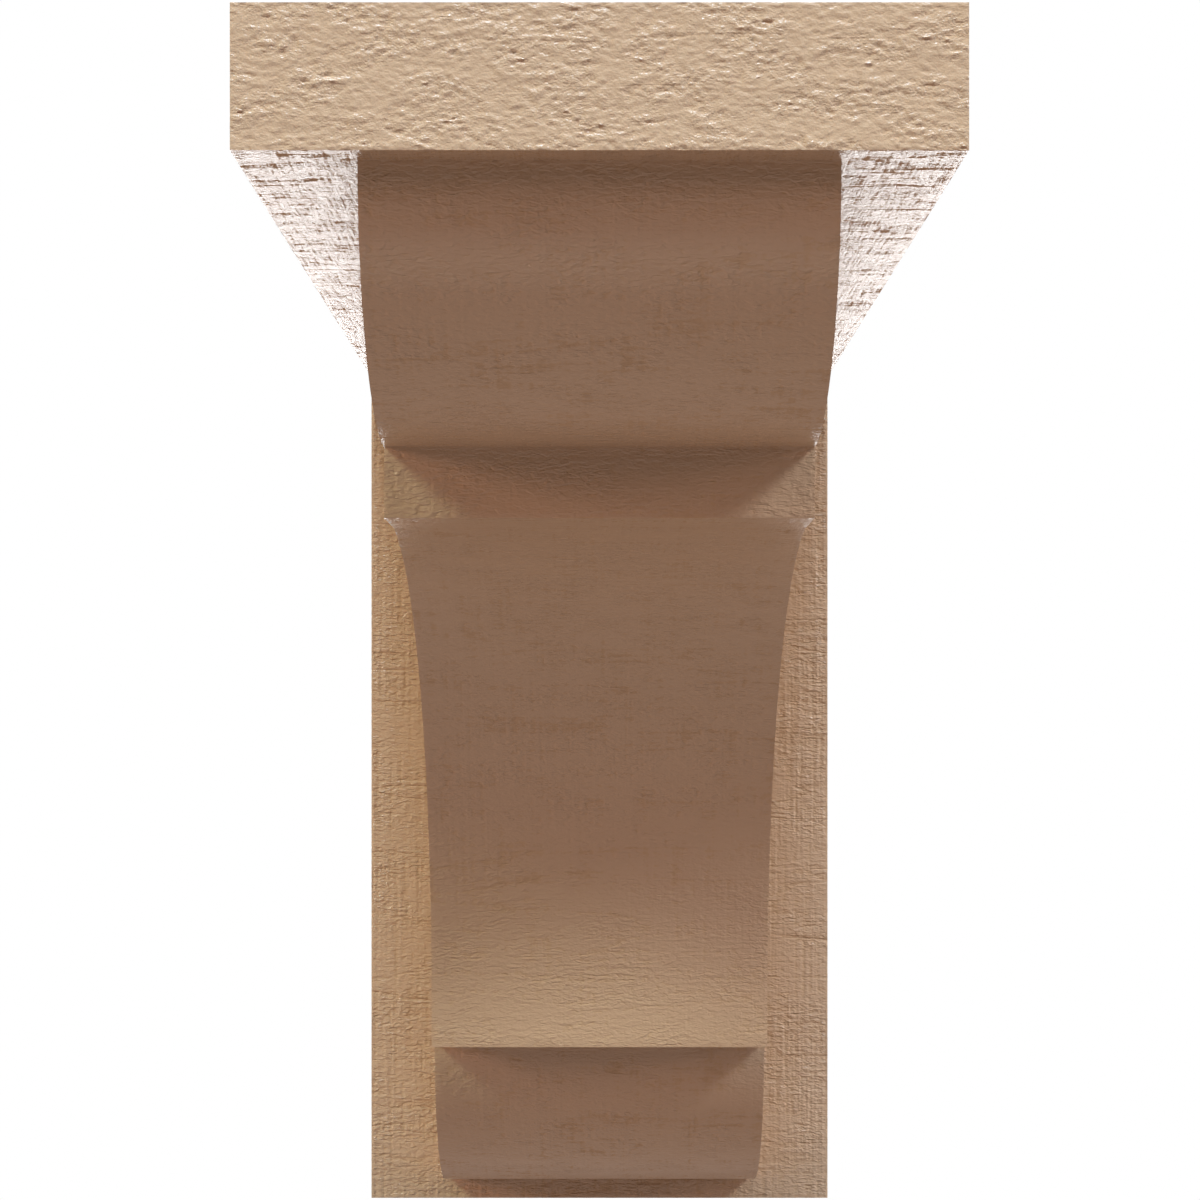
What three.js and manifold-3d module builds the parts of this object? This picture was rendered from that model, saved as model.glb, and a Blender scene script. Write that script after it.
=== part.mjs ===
// A corbel cast in one piece. A cap slab and a back board of one width meet at a right angle, and
// a narrower bracket fills the corner between them. The bracket's side profile, from the cap down,
// is an ovolo, an upright fillet, a soffit, a long cove, a fascia, and a toe that repeats the ovolo.
// Millimetres. +Z is up, the wall is the plane y = 0, the front faces -Y, and the origin is in the
// middle of the back.

import * as THREE from 'three';
import { mergeVertices, toCreasedNormals } from 'three/addons/utils/BufferGeometryUtils.js';
import Module from 'manifold-3d';

// Overall sizes
const WIDTH = 152.4;
const HEIGHT = 304.8;
const PROJECTION = 304.8;

// Slab, board and bracket
const CAP_THICKNESS = 30.5;
const BOARD_THICKNESS = 30.5;
const BRACKET_WIDTH = 101.6;

// Bracket profile: the cove takes up what these leave of the height and the projection
const CAP_OVERHANG = 7.9;
const OVOLO_DEPTH = 55.4;
const OVOLO_HEIGHT = 52.4;
const FILLET_HEIGHT = 16.8;
const SOFFIT_DEPTH = 24.6;
const FASCIA_HEIGHT = 10;
const TOE_RECESS = 12.2;
const BOARD_REVEAL = 7.6;
const COVE_SWEEP = THREE.MathUtils.degToRad(82.7);

// How far the bracket's outline runs into the cap and the board, so that they join as one
const ROOT = 5;

// Half as many facets as each arc of the profile has
const ARC_DIVISIONS = 24;

// Facets that meet at less than this shade as one smooth surface
const CREASE_ANGLE = THREE.MathUtils.degToRad(20);

// Distances out from the wall
const noseReach = PROJECTION - CAP_OVERHANG;
const filletReach = noseReach - OVOLO_DEPTH;
const coveReach = filletReach - SOFFIT_DEPTH;
const toeReach = BOARD_THICKNESS + OVOLO_DEPTH;
const fasciaReach = toeReach + TOE_RECESS;

// Levels, from the top down to the fillet and from the bottom up to the cove
const topLevel = HEIGHT / 2;
const bottomLevel = -HEIGHT / 2;
const capLevel = topLevel - CAP_THICKNESS;
const ovoloLevel = capLevel - OVOLO_HEIGHT;
const soffitLevel = ovoloLevel - FILLET_HEIGHT;
const toeLevel = bottomLevel + BOARD_REVEAL;
const fasciaLevel = toeLevel + OVOLO_HEIGHT;
const coveLevel = fasciaLevel + FASCIA_HEIGHT;

// The cove is upright at its foot, and COVE_SWEEP of a quarter turn brings it to the soffit
const coveRadiusOut = (coveReach - fasciaReach) / (1 - Math.cos(COVE_SWEEP));
const coveRadiusUp = (soffitLevel - coveLevel) / Math.sin(COVE_SWEEP);

const wasm = await Module();
wasm.setup();

// Cap and board, seen from the side: x is the distance out from the wall, and y is the level
function slabOutline() {
  const outline = new THREE.Shape();
  outline.moveTo(0, bottomLevel);
  outline.lineTo(BOARD_THICKNESS, bottomLevel);
  outline.lineTo(BOARD_THICKNESS, capLevel);
  outline.lineTo(PROJECTION, capLevel);
  outline.lineTo(PROJECTION, topLevel);
  outline.lineTo(0, topLevel);
  outline.closePath();
  return outline;
}

// A convex quarter round that starts upright at its nose and ends level, under its own root
function addOvolo(outline, noseAt, startLevel) {
  const quarter = Math.PI / 2;
  outline.absellipse(noseAt - OVOLO_DEPTH, startLevel, OVOLO_DEPTH, OVOLO_HEIGHT, 0, -quarter, true);
}

// Bracket, seen from the side in the same way
function bracketOutline() {
  const outline = new THREE.Shape();
  const rootReach = BOARD_THICKNESS - ROOT;
  outline.moveTo(rootReach, capLevel + ROOT);
  outline.lineTo(noseReach, capLevel + ROOT);
  addOvolo(outline, noseReach, capLevel);
  outline.lineTo(filletReach, soffitLevel);
  const coveCentre = fasciaReach + coveRadiusOut;
  const coveStart = Math.PI - COVE_SWEEP;
  outline.absellipse(coveCentre, coveLevel, coveRadiusOut, coveRadiusUp, coveStart, Math.PI, false);
  outline.lineTo(fasciaReach, fasciaLevel);
  addOvolo(outline, toeReach, fasciaLevel);
  outline.lineTo(rootReach, toeLevel);
  outline.closePath();
  return outline;
}

// Extrudes a side outline across the part, centred on it
function acrossPart(outline, width) {
  const geometry = new THREE.ExtrudeGeometry(outline, {
    depth: width,
    bevelEnabled: false,
    curveSegments: ARC_DIVISIONS,
  });
  geometry.translate(0, 0, -width / 2);
  const outward = new THREE.Vector3(0, -1, 0);
  const upward = new THREE.Vector3(0, 0, 1);
  const sideways = new THREE.Vector3(-1, 0, 0);
  geometry.applyMatrix4(new THREE.Matrix4().makeBasis(outward, upward, sideways));
  return geometry;
}

function toSolid(geometry) {
  const bare = geometry.clone();
  bare.deleteAttribute('normal');
  bare.deleteAttribute('uv');
  const merged = mergeVertices(bare);
  return new wasm.Manifold(new wasm.Mesh({
    numProp: 3,
    vertProperties: new Float32Array(merged.attributes.position.array),
    triVerts: new Uint32Array(merged.index.array),
  }));
}

function toGeometry(solid) {
  const mesh = solid.getMesh();
  const geometry = new THREE.BufferGeometry();
  geometry.setAttribute('position', new THREE.BufferAttribute(mesh.vertProperties, 3));
  geometry.setIndex(new THREE.BufferAttribute(mesh.triVerts, 1));
  return toCreasedNormals(geometry, CREASE_ANGLE);
}

const castFinish = new THREE.MeshStandardMaterial({ color: 0xc6aa8d, roughness: 0.7, metalness: 0 });

const slab = toSolid(acrossPart(slabOutline(), WIDTH));
const bracket = toSolid(acrossPart(bracketOutline(), BRACKET_WIDTH));
const corbel = new THREE.Mesh(toGeometry(slab.add(bracket)), castFinish);
corbel.name = 'corbel';

const part = new THREE.Group();
part.add(corbel);

export default part;
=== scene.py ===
"""Dresses the corbel: one casting of tan urethane that carries the relief of rough-sawn timber.

The casting is meshed afresh over the solid's own form, sheet by sheet, as finely as each face
needs. Geometry Nodes then raise the sawn relief on it and wear its arrises, and the finish adds
the finest grain. Lengths are in metres, +Z is up, and the front faces -Y.
"""

import logging
import math
from collections.abc import Callable, Iterable, Sequence
from dataclasses import dataclass, field
from enum import Enum

import bmesh
import bpy
import numpy as np
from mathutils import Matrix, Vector
from mathutils.geometry import delaunay_2d_cdt


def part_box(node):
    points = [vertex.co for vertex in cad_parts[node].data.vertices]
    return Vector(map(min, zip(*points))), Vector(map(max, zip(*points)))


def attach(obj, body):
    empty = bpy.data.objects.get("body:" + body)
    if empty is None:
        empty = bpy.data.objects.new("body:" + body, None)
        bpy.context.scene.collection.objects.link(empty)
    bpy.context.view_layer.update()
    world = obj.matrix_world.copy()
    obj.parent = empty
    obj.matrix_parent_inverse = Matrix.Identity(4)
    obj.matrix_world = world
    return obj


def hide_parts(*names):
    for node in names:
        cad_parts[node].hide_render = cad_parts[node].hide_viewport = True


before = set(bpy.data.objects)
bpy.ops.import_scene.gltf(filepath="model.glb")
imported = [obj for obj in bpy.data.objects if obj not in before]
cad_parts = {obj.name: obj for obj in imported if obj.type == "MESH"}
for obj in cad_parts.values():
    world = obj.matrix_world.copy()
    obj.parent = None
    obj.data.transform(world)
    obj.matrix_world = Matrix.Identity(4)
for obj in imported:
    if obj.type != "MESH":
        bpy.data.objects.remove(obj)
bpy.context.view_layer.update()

BODY = "root"
CORBEL_NODE = "corbel"
CASTING_NAME = "sawn_casting"

# Attributes that the relief leaves on the casting for its finish to read
END_FACE = "end_face"
CARRIED = "carried_relief"

# Attributes that the smooth form carries for the relief and the finish
TEARING = "tearing"
SAW_MARKS = "saw_marks"
FINENESS = "fineness"

MM = 0.001
WHITE = (1.0, 1.0, 1.0, 1.0)
BLACK = (0.0, 0.0, 0.0, 1.0)

# An outline runs straight on where the sine of its turn is below this
STRAIGHT = 1e-6

# Laid-out points closer than this, in metres, are taken as one
SAME_POINT = 1e-7

log = logging.getLogger("corbel")

Values = np.ndarray
Lift = Callable[[Values], Values]
Socket = bpy.types.NodeSocket

# What a node's input takes: a plain value, or another node's output
Feed = float | str | Sequence[float] | Socket


@dataclass(frozen=True)
class CorbelSizes:
    """The sizes of the corbel's form, the same as the solid's.

    Args:
        width: Across the cap and the back board.
        height: From the board's foot to the top of the cap.
        projection: From the wall to the cap's front.
        cap_thickness: From the cap's underside to its top.
        board_thickness: From the wall to the board's front.
        bracket_width: Across the bracket.
        cap_overhang: From the cap's front back to the bracket's nose.
        ovolo_depth: From an ovolo's nose back to its end, on the toe too.
        ovolo_height: From an ovolo's head down to its end, on the toe too.
        fillet_height: From the upper ovolo down to the soffit.
        soffit_depth: From the fillet back to the cove.
        fascia_height: From the cove's foot down to the toe.
        toe_recess: From the fascia back to the toe's nose.
        board_reveal: How much of the board shows below the toe.
        cove_sweep: How far the cove turns.
    """

    width: float
    height: float
    projection: float
    cap_thickness: float = 30.5 * MM
    board_thickness: float = 30.5 * MM
    bracket_width: float = 101.6 * MM
    cap_overhang: float = 7.9 * MM
    ovolo_depth: float = 55.4 * MM
    ovolo_height: float = 52.4 * MM
    fillet_height: float = 16.8 * MM
    soffit_depth: float = 24.6 * MM
    fascia_height: float = 10 * MM
    toe_recess: float = 12.2 * MM
    board_reveal: float = 7.6 * MM
    cove_sweep: float = math.radians(82.7)

    @classmethod
    def from_node(cls, node: str) -> "CorbelSizes":
        """Takes the overall sizes from a node of the frame.

        Args:
            node: The name of the node that holds the whole corbel.

        Returns:
            The sizes, with the profile's own at their defaults.
        """
        low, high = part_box(node)
        return cls(width=high.x - low.x, height=high.z - low.z, projection=high.y - low.y)

    @property
    def top_level(self) -> float:
        """The level of the cap's top."""
        return self.height / 2

    @property
    def bottom_level(self) -> float:
        """The level of the board's foot."""
        return -self.height / 2

    @property
    def cap_level(self) -> float:
        """The level of the cap's underside."""
        return self.top_level - self.cap_thickness

    @property
    def ovolo_level(self) -> float:
        """The level of the upper ovolo's end."""
        return self.cap_level - self.ovolo_height

    @property
    def soffit_level(self) -> float:
        """The level of the soffit, at the fillet's foot."""
        return self.ovolo_level - self.fillet_height

    @property
    def toe_level(self) -> float:
        """The level of the toe's end."""
        return self.bottom_level + self.board_reveal

    @property
    def fascia_level(self) -> float:
        """The level of the fascia's foot, where the toe starts."""
        return self.toe_level + self.ovolo_height

    @property
    def cove_level(self) -> float:
        """The level of the cove's foot, where the fascia starts."""
        return self.fascia_level + self.fascia_height

    @property
    def nose_reach(self) -> float:
        """How far the bracket's nose stands out from the wall."""
        return self.projection - self.cap_overhang

    @property
    def fillet_reach(self) -> float:
        """How far the fillet stands out from the wall."""
        return self.nose_reach - self.ovolo_depth

    @property
    def cove_reach(self) -> float:
        """How far the cove's head stands out from the wall."""
        return self.fillet_reach - self.soffit_depth

    @property
    def toe_reach(self) -> float:
        """How far the toe stands out from the wall."""
        return self.board_thickness + self.ovolo_depth

    @property
    def fascia_reach(self) -> float:
        """How far the fascia stands out from the wall."""
        return self.toe_reach + self.toe_recess


@dataclass(frozen=True)
class MeshPitch:
    """How far apart the vertices stand on each kind of face.

    Args:
        cap_across: Across the cap's front.
        cap_up: Up the cap's front.
        board: On the board's front.
        underside: On the cap's underside.
        bracket: On the moulded face.
        plain: On the faces that the photograph's view doesn't show.
        ease: From a face's outline to the row of points that follows it inside.
    """

    cap_across: float = 0.57 * MM
    cap_up: float = 0.41 * MM
    board: float = 0.9 * MM
    underside: float = 1.5 * MM
    bracket: float = 1.7 * MM
    plain: float = 3.5 * MM
    ease: float = 0.5 * MM


def ruling(start: float, end: float, pitch: float) -> Values:
    """Spaces values evenly from start to end.

    Args:
        start: The first value.
        end: The last value.
        pitch: The widest step allowed.

    Returns:
        The values, with both ends.
    """
    steps = max(1, math.ceil(abs(end - start) / pitch))
    return np.linspace(start, end, steps + 1)


def joined(corners: Sequence[Sequence[float]], pitches: Sequence[float]) -> Values:
    """Runs an evenly stepped line through some corners.

    Args:
        corners: The corners, in order.
        pitches: The widest step on each stretch between two corners.

    Returns:
        The points of the line, with both ends.
    """
    points = [np.array([corners[0]], float)]
    for start, end, pitch in zip(corners, corners[1:], pitches):
        start, end = np.array(start, float), np.array(end, float)
        share = ruling(0, 1, pitch / np.linalg.norm(end - start))[1:, None]
        points.append(start + (end - start) * share)
    return np.concatenate(points)


def ring(corners: Sequence[Sequence[float]], pitches: Sequence[float]) -> Values:
    """Runs an evenly stepped line through some corners and back to the first.

    Args:
        corners: The corners, in order.
        pitches: The widest step on each stretch, the closing one included.

    Returns:
        The points of the ring, with the first one given once.
    """
    return joined([*corners, corners[0]], pitches)[:-1]


@dataclass(frozen=True)
class Sawing:
    """How strongly and how finely one face shows the sawn relief.

    Args:
        tearing: Share of the torn fibres' depth.
        saw_marks: Share of the saw lines' depth.
        fineness: How many times finer than the stated sizes the pattern is.
    """

    tearing: float
    saw_marks: float
    fineness: float


@dataclass(frozen=True)
class Sheet:
    """One flat or unrolled face of the casting, laid out in two coordinates.

    Args:
        outline: The points round the face, shared with the faces next to it.
        columns: First coordinates of the points inside.
        rows: Second coordinates of the points inside.
        lift: Takes laid-out points to their places on the casting.
        ease: How far in from the outline a row of points follows it.
        sawing: How the face shows the sawn relief.
        creases: Rows across the face where it turns sharply.
        border_room: How many eases deep the points of that row lie at least.
        lattice_room: How many eases deep the points inside it lie at least.
    """

    outline: Values
    columns: Values
    rows: Values
    lift: Lift
    ease: float
    sawing: Sawing
    creases: Sequence[float] = ()
    border_room: float = 0.9
    lattice_room: float = 1.6

    @classmethod
    def flat(cls, corners: Sequence[Sequence[float]], pitches: Sequence[float],
             steps: Sequence[float], lift: Lift, ease: float, sawing: Sawing) -> "Sheet":
        """Lays out a flat face from its corners.

        Args:
            corners: The corners, in order.
            pitches: The widest step along each edge, the closing one included.
            steps: The widest steps between the columns and between the rows.
            lift: Takes laid-out points to their places on the casting.
            ease: How far in from the outline a row of points follows it.
            sawing: How the face shows the sawn relief.

        Returns:
            The face's sheet.
        """
        low, high = np.min(corners, axis=0), np.max(corners, axis=0)
        columns, rows = (ruling(*span) for span in zip(low, high, steps))
        return cls(ring(corners, pitches), columns, rows, lift, ease, sawing)

    def corners(self) -> Values:
        """Finds the points of the outline where it turns.

        Returns:
            The points, in order.
        """
        before = self.outline - np.roll(self.outline, 1, axis=0)
        after = np.roll(self.outline, -1, axis=0) - self.outline
        turn = before[:, 0] * after[:, 1] - before[:, 1] * after[:, 0]
        size = np.linalg.norm(before, axis=1) * np.linalg.norm(after, axis=1)
        return self.outline[np.abs(turn) > size * STRAIGHT]

    def depth(self, points: Values) -> Values:
        """Measures how deep inside the face some points lie.

        Args:
            points: Laid-out points.

        Returns:
            The distance of each to the outline, below zero outside it.
        """
        corners = self.corners()
        nearest = np.full(len(points), np.inf)
        inside = np.zeros(len(points), bool)
        for start, end in zip(corners, np.roll(corners, -1, axis=0)):
            along = end - start
            offset = points - start
            share = np.clip(offset @ along / (along @ along), 0, 1)
            nearest = np.minimum(nearest, np.linalg.norm(offset - share[:, None] * along, axis=1))
            spans = (start[1] > points[:, 1]) != (end[1] > points[:, 1])
            if along[1]:
                crossing = start[0] + (points[:, 1] - start[1]) * along[0] / along[1]
                inside ^= spans & (points[:, 0] < crossing)
        return np.where(inside, nearest, -nearest)

    def inner_points(self) -> Values:
        """Sets out the points inside the face.

        Returns:
            A row that follows the outline at the ease, and a staggered lattice inside it.
        """
        along = np.roll(self.outline, -1, axis=0) - np.roll(self.outline, 1, axis=0)
        sideways = np.stack([-along[:, 1], along[:, 0]], axis=1)
        sideways *= self.ease / np.linalg.norm(sideways, axis=1)[:, None]
        border = np.concatenate([self.outline + sideways, self.outline - sideways])
        border = border[self.depth(border) > self.border_room * self.ease]
        column, row = np.meshgrid(self.columns, self.rows)
        column[1::2] += np.median(np.diff(self.columns)) / 2
        lattice = np.stack([column.ravel(), row.ravel()], axis=1)
        lattice = lattice[self.depth(lattice) > self.lattice_room * self.ease]
        return np.concatenate([border, lattice])

    def mesh(self) -> tuple[Values, Values]:
        """Fills the face with triangles.

        Returns:
            The vertices on the casting, and the triangles between them.
        """
        count = len(self.outline)
        points = [self.outline, self.inner_points()]
        edges = [(n, (n + 1) % count) for n in range(count)]
        total = sum(len(part) for part in points)
        for level in self.creases:
            line = np.stack([self.columns, np.full(len(self.columns), level)], axis=1)
            edges += [(total + n, total + n + 1) for n in range(len(line) - 1)]
            points.append(line)
            total += len(line)
        laid = [Vector(point) for point in np.concatenate(points)]
        whole_hull = 0
        need_ids = False
        vertices, _, faces, *_ = delaunay_2d_cdt(laid, edges, [], whole_hull, SAME_POINT, need_ids)
        vertices, faces = np.array(vertices, float), np.array(faces, int)
        faces = faces[self.depth(vertices[faces].mean(axis=1)) > 0]
        return self.lift(vertices), faces


class Facing(Enum):
    """The two coordinates that a flat face is laid out in, and the one that it keeps."""

    FRONT = (0, 2, 1)
    LEVEL = (0, 1, 2)
    SIDE = (1, 2, 0)

    def lift(self, kept: float) -> Lift:
        """Says how laid-out points are put in place.

        Args:
            kept: The coordinate that the whole face shares.

        Returns:
            A function from laid-out points to points on the casting.
        """
        first, second, third = self.value

        def place(points: Values) -> Values:
            """Puts laid-out points on the face.

            Args:
                points: The laid-out points.

            Returns:
                Their places on the casting.
            """
            placed = np.empty((len(points), 3))
            placed[:, first] = points[:, 0]
            placed[:, second] = points[:, 1]
            placed[:, third] = kept
            return placed

        return place


@dataclass(frozen=True)
class CapSlab:
    """The slab on top: its front and top, and the underside round the bracket.

    Args:
        sizes: The corbel's sizes.
        pitch: How far apart the vertices stand.
        front_sawing: How the front shows the sawn relief.
        sawing: How the top and the underside show it.
    """

    sizes: CorbelSizes
    pitch: MeshPitch
    front_sawing: Sawing = Sawing(tearing=1.25, saw_marks=0.35, fineness=1.0)
    sawing: Sawing = Sawing(tearing=1.0, saw_marks=1.05, fineness=1.35)

    def sheets(self) -> list[Sheet]:
        """Lays out the slab's faces."""
        return [self.front(), self.top(), self.underside()]

    def front(self) -> Sheet:
        """Lays out the front, the finest face of all.

        Returns:
            The front's sheet.
        """
        size, pitch = self.sizes, self.pitch
        edge = size.width / 2
        corners = [(-edge, size.cap_level), (edge, size.cap_level)]
        corners += [(edge, size.top_level), (-edge, size.top_level)]
        steps = [pitch.cap_across, pitch.cap_up]
        lift = Facing.FRONT.lift(-size.projection)
        return Sheet.flat(corners, steps * 2, steps, lift, pitch.ease, self.front_sawing)

    def top(self) -> Sheet:
        """Lays out the top.

        Returns:
            The top's sheet.
        """
        size, pitch = self.sizes, self.pitch
        edge = size.width / 2
        corners = [(-edge, -size.projection), (edge, -size.projection), (edge, 0), (-edge, 0)]
        pitches = [pitch.cap_across, pitch.plain, pitch.plain, pitch.plain]
        steps = [pitch.plain] * 2
        lift = Facing.LEVEL.lift(size.top_level)
        return Sheet.flat(corners, pitches, steps, lift, pitch.ease, self.sawing)

    def underside(self) -> Sheet:
        """Lays out the underside, which passes round the bracket on both sides and in front.

        Returns:
            The underside's sheet.
        """
        size, pitch = self.sizes, self.pitch
        edge, side = size.width / 2, size.bracket_width / 2
        front, nose, back = -size.projection, -size.nose_reach, -size.board_thickness
        corners = [(-edge, front), (edge, front), (edge, back), (side, back), (side, nose)]
        corners += [(-side, nose), (-side, back), (-edge, back)]
        pitches = [pitch.cap_across, pitch.underside, pitch.board, pitch.underside]
        pitches += [pitch.bracket, pitch.underside, pitch.board, pitch.underside]
        steps = [pitch.underside] * 2
        lift = Facing.LEVEL.lift(size.cap_level)
        return Sheet.flat(corners, pitches, steps, lift, pitch.ease, self.sawing)


@dataclass(frozen=True)
class BackBoard:
    """The board against the wall, with the sides that it shares with the cap.

    Args:
        sizes: The corbel's sizes.
        pitch: How far apart the vertices stand.
        sawing: How the board shows the sawn relief.
        back_sawing: How its back shows it.
    """

    sizes: CorbelSizes
    pitch: MeshPitch
    sawing: Sawing = Sawing(tearing=0.9, saw_marks=1.5, fineness=0.72)
    back_sawing: Sawing = Sawing(tearing=0.35, saw_marks=0.4, fineness=0.72)

    def sheets(self) -> list[Sheet]:
        """Lays out the board's faces."""
        edge = self.sizes.width / 2
        return [self.front(), self.back(), self.foot(), self.side(edge), self.side(-edge)]

    def front(self) -> Sheet:
        """Lays out the front, which shows on both sides of the bracket and below its toe.

        Returns:
            The front's sheet.
        """
        size, pitch = self.sizes, self.pitch
        edge, side = size.width / 2, size.bracket_width / 2
        foot, toe, head = size.bottom_level, size.toe_level, size.cap_level
        corners = [(-edge, foot), (edge, foot), (edge, head), (side, head), (side, toe)]
        corners += [(-side, toe), (-side, head), (-edge, head)]
        pitches = [pitch.board] * 4 + [pitch.bracket] + [pitch.board] * 3
        steps = [pitch.board] * 2
        lift = Facing.FRONT.lift(-size.board_thickness)
        return Sheet.flat(corners, pitches, steps, lift, pitch.ease, self.sawing)

    def back(self) -> Sheet:
        """Lays out the back, which goes against the wall.

        Returns:
            The back's sheet.
        """
        size, pitch = self.sizes, self.pitch
        edge = size.width / 2
        corners = [(-edge, size.bottom_level), (edge, size.bottom_level)]
        corners += [(edge, size.top_level), (-edge, size.top_level)]
        steps = [pitch.plain] * 2
        lift = Facing.FRONT.lift(0)
        return Sheet.flat(corners, steps * 2, steps, lift, pitch.ease, self.back_sawing)

    def foot(self) -> Sheet:
        """Lays out the board's foot.

        Returns:
            The foot's sheet.
        """
        size, pitch = self.sizes, self.pitch
        edge, front = size.width / 2, -size.board_thickness
        corners = [(-edge, front), (edge, front), (edge, 0), (-edge, 0)]
        pitches = [pitch.board, pitch.bracket, pitch.plain, pitch.bracket]
        steps = [pitch.bracket] * 2
        lift = Facing.LEVEL.lift(size.bottom_level)
        return Sheet.flat(corners, pitches, steps, lift, pitch.ease, self.sawing)

    def side(self, across: float) -> Sheet:
        """Lays out one side of the board and the cap, which meet in one face.

        Args:
            across: Where the side stands across the corbel.

        Returns:
            The side's sheet.
        """
        size, pitch = self.sizes, self.pitch
        board, front = -size.board_thickness, -size.projection
        foot, cap, top = size.bottom_level, size.cap_level, size.top_level
        corners = [(0, foot), (board, foot), (board, cap), (front, cap), (front, top), (0, top)]
        pitches = [pitch.bracket, pitch.board, pitch.underside]
        pitches += [pitch.cap_up, pitch.plain, pitch.plain]
        steps = [pitch.plain * 2 / 3] * 2
        lift = Facing.SIDE.lift(across)
        return Sheet.flat(corners, pitches, steps, lift, pitch.ease, self.sawing)


@dataclass(frozen=True)
class Bracket:
    """The moulded bracket: a face that follows its profile, and two flat sides.

    Args:
        sizes: The corbel's sizes.
        pitch: How far apart the vertices stand.
        sawing: How the bracket shows the sawn relief.
    """

    sizes: CorbelSizes
    pitch: MeshPitch
    sawing: Sawing = Sawing(tearing=0.6, saw_marks=0.5, fineness=0.8)

    def sheets(self) -> list[Sheet]:
        """Lays out the bracket's faces."""
        side = self.sizes.bracket_width / 2
        return [self.face(), self.side(side), self.side(-side)]

    def arc(self, centre: Sequence[float], radii: Sequence[float], turn: Sequence[float]) -> Values:
        """Runs along part of an ellipse in the profile's plane.

        Args:
            centre: Reach and level of the centre.
            radii: Radius outward and radius upward.
            turn: Angles of the start and the end, from level outward.

        Returns:
            The points of the arc, as y and z, with both ends.
        """
        step = self.pitch.bracket / max(radii)
        angles = ruling(turn[0], turn[1], step)
        reach = centre[0] + radii[0] * np.cos(angles)
        level = centre[1] + radii[1] * np.sin(angles)
        return np.stack([-reach, level], axis=1)

    def ovolo(self, nose: float, head: float) -> Values:
        """Runs down a quarter round.

        Args:
            nose: How far its upright start stands out from the wall.
            head: The level that it starts at.

        Returns:
            The points of the round, as y and z.
        """
        size = self.sizes
        centre = (nose - size.ovolo_depth, head)
        return self.arc(centre, (size.ovolo_depth, size.ovolo_height), (0, -math.pi / 2))

    def cove(self) -> Values:
        """Runs down the hollow between the soffit and the fascia.

        Returns:
            The points of the hollow, as y and z.
        """
        size = self.sizes
        outward = (size.cove_reach - size.fascia_reach) / (1 - math.cos(size.cove_sweep))
        upward = (size.soffit_level - size.cove_level) / math.sin(size.cove_sweep)
        centre = (size.fascia_reach + outward, size.cove_level)
        return self.arc(centre, (outward, upward), (math.pi - size.cove_sweep, math.pi))

    def straight(self, start: Values, end: Values) -> Values:
        """Runs between two bends, with a row close to each end that keeps the bend tight.

        Args:
            start: Where the stretch starts, as y and z.
            end: Where it ends.

        Returns:
            The points after the start, up to and including the end.
        """
        along = (end - start) / np.linalg.norm(end - start) * self.pitch.ease
        ease, step = self.pitch.ease, self.pitch.bracket
        return joined([start, start + along, end - along, end], [ease, step, ease])[1:]

    def profile(self) -> tuple[Values, list[float]]:
        """Runs down the whole profile, from under the cap to the board.

        Returns:
            The points as y and z, and how far along it each sharp bend lies.
        """
        size = self.sizes
        fillet_foot = np.array([-size.fillet_reach, size.soffit_level])
        fascia_foot = np.array([-size.fascia_reach, size.fascia_level])
        toe_head = np.array([-size.toe_reach, size.fascia_level])
        upper = self.ovolo(size.nose_reach, size.cap_level)
        hollow = self.cove()
        lower = self.ovolo(size.toe_reach, size.fascia_level)
        parts = [upper, self.straight(upper[-1], fillet_foot)]
        parts += [self.straight(fillet_foot, hollow[0]), hollow[1:]]
        parts += [self.straight(hollow[-1], fascia_foot), self.straight(fascia_foot, toe_head)]
        parts.append(lower[1:])
        points = np.concatenate(parts)
        run = self.run(points)
        sharp = []
        for bend in (upper[-1], fillet_foot, fascia_foot, toe_head):
            nearest = np.argmin(np.linalg.norm(points - bend, axis=1))
            sharp.append(float(run[nearest]))
        return points, sharp

    @staticmethod
    def run(points: Values) -> Values:
        """Measures how far along a line each of its points lies.

        Args:
            points: The points, in order.

        Returns:
            The distances from the first point.
        """
        steps = np.linalg.norm(np.diff(points, axis=0), axis=1)
        return np.concatenate([[0], np.cumsum(steps)])

    def face(self) -> Sheet:
        """Lays out the moulded face, unrolled down its profile.

        Returns:
            The face's sheet, with a crease at each sharp bend.
        """
        side, pitch = self.sizes.bracket_width / 2, self.pitch
        points, sharp = self.profile()
        run = self.run(points)
        columns = ruling(-side, side, pitch.bracket)
        head = np.stack([columns, np.zeros(len(columns))], axis=1)
        right = np.stack([np.full(len(run), side), run], axis=1)
        foot = np.stack([columns[::-1], np.full(len(columns), run[-1])], axis=1)
        left = np.stack([np.full(len(run), -side), run[::-1]], axis=1)
        outline = np.concatenate([head[:-1], right[:-1], foot[:-1], left[:-1]])

        def wrap(laid: Values) -> Values:
            """Wraps unrolled points back over the profile.

            Args:
                laid: The unrolled points.

            Returns:
                Their places on the casting.
            """
            outward = np.interp(laid[:, 1], run, points[:, 0])
            level = np.interp(laid[:, 1], run, points[:, 1])
            return np.stack([laid[:, 0], outward, level], axis=1)

        return Sheet(outline, columns, run, wrap, pitch.ease, self.sawing, sharp)

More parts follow.
